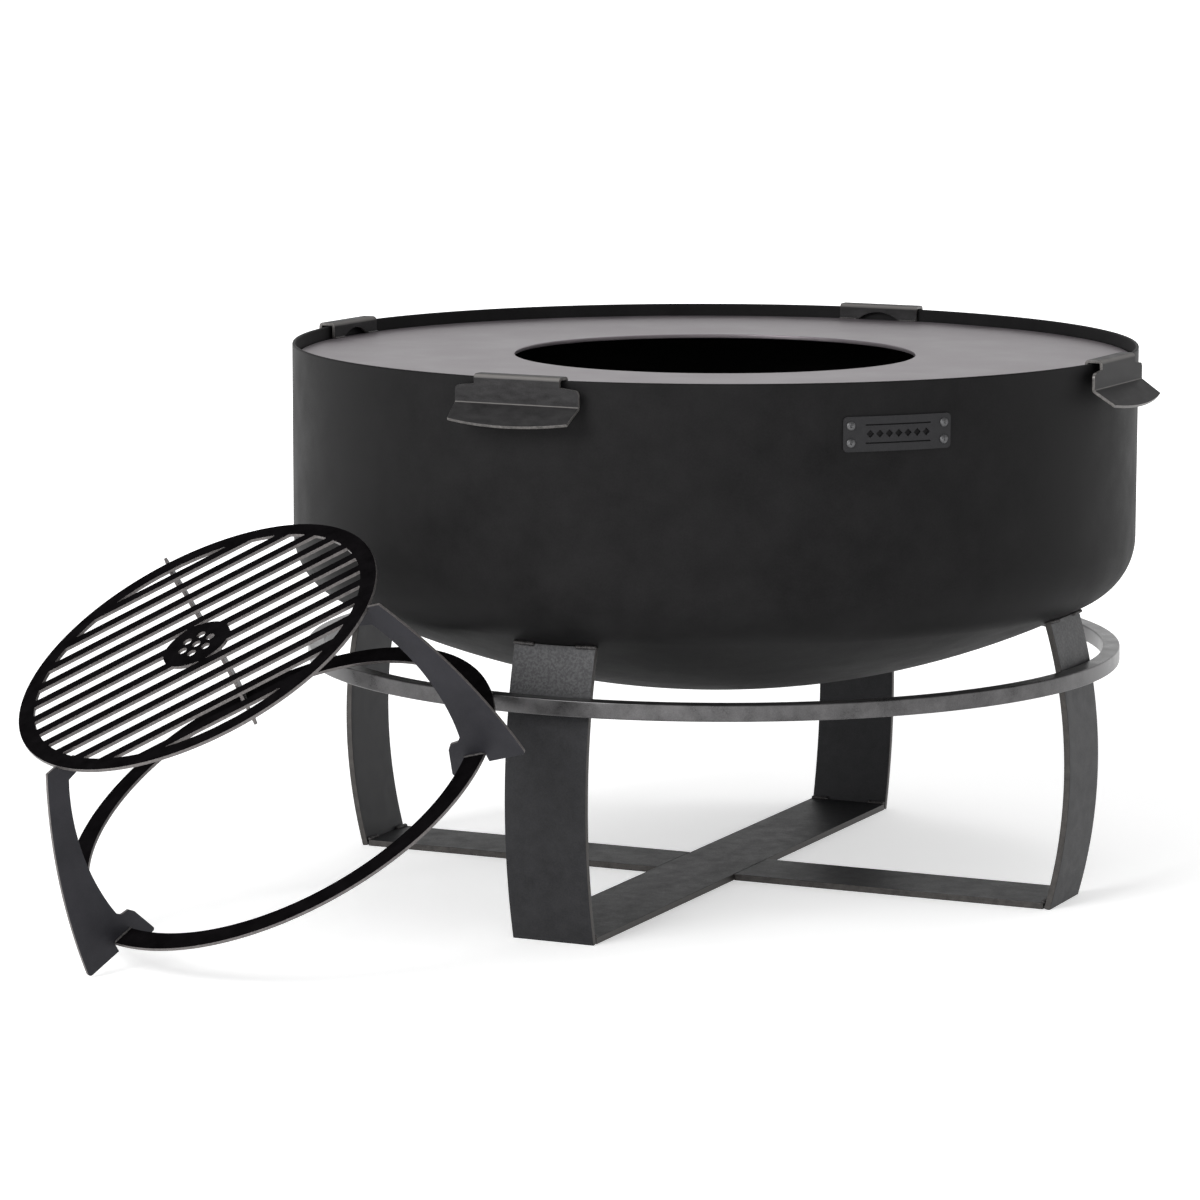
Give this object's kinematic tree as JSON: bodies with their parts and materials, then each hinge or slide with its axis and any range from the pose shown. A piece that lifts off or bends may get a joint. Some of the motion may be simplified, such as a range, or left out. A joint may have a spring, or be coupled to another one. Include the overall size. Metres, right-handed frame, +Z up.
{
  "type": "fire pit with grate",
  "caption": "Round steel fire pit on bowed legs with a stand ring, a lift-off ring-shaped griddle with hooked handles, and a slotted cooking grate leaning on the stand.",
  "frame": {"origin": "on the floor, on the bowl's axis", "axes": "+Z up along the bowl's axis; +Y away from the viewer; the name tag is on the -Y side and the grate leans towards -X -Y"},
  "size_m": [1.0206, 0.9864, 0.5143],
  "materials": {
    "pit_steel": "matte black, finely mottled",
    "griddle_steel": "semi-gloss hot-rolled plate",
    "handle_steel": "dark raw sheet with bright cut edges",
    "tag_steel": "satin plate",
    "grate_steel": "dark mill scale with lighter cut edges"
  },
  "bodies": {
    "pit": {"bowl_base": "pit_steel", "bowl_wall": "pit_steel", "name_tag": "tag_steel", "tag_rivet_1": "tag_steel", "tag_rivet_2": "tag_steel", "tag_rivet_3": "tag_steel", "tag_rivet_4": "tag_steel", "stand_ring": "pit_steel", "leg_front_left": "pit_steel", "leg_front_right": "pit_steel", "leg_back_right": "pit_steel", "leg_back_left": "pit_steel", "floor_bar_long": "pit_steel", "floor_bar_right": "pit_steel", "floor_bar_left": "pit_steel"},
    "griddle": {"griddle_plate": "griddle_steel", "handle_front_left": "handle_steel", "handle_front_right": "handle_steel", "handle_back_right": "handle_steel", "handle_back_left": "handle_steel"},
    "grate": {"grate_disc": "grate_steel", "grate_ring": "grate_steel", "grate_leg_1": "grate_steel", "grate_leg_2": "grate_steel", "grate_leg_3": "grate_steel"}
  },
  "joints": [
    {"name": "griddle_lift", "type": "slide", "parent": "pit", "child": "griddle", "axis": [0, 0, 1], "range_m": [0, 0.08]},
    {"name": "grate_lift", "type": "slide", "parent": "pit", "child": "grate", "axis": [-0.6375, -0.5862, 0.5], "range_m": [0, 0.2]}
  ]
}
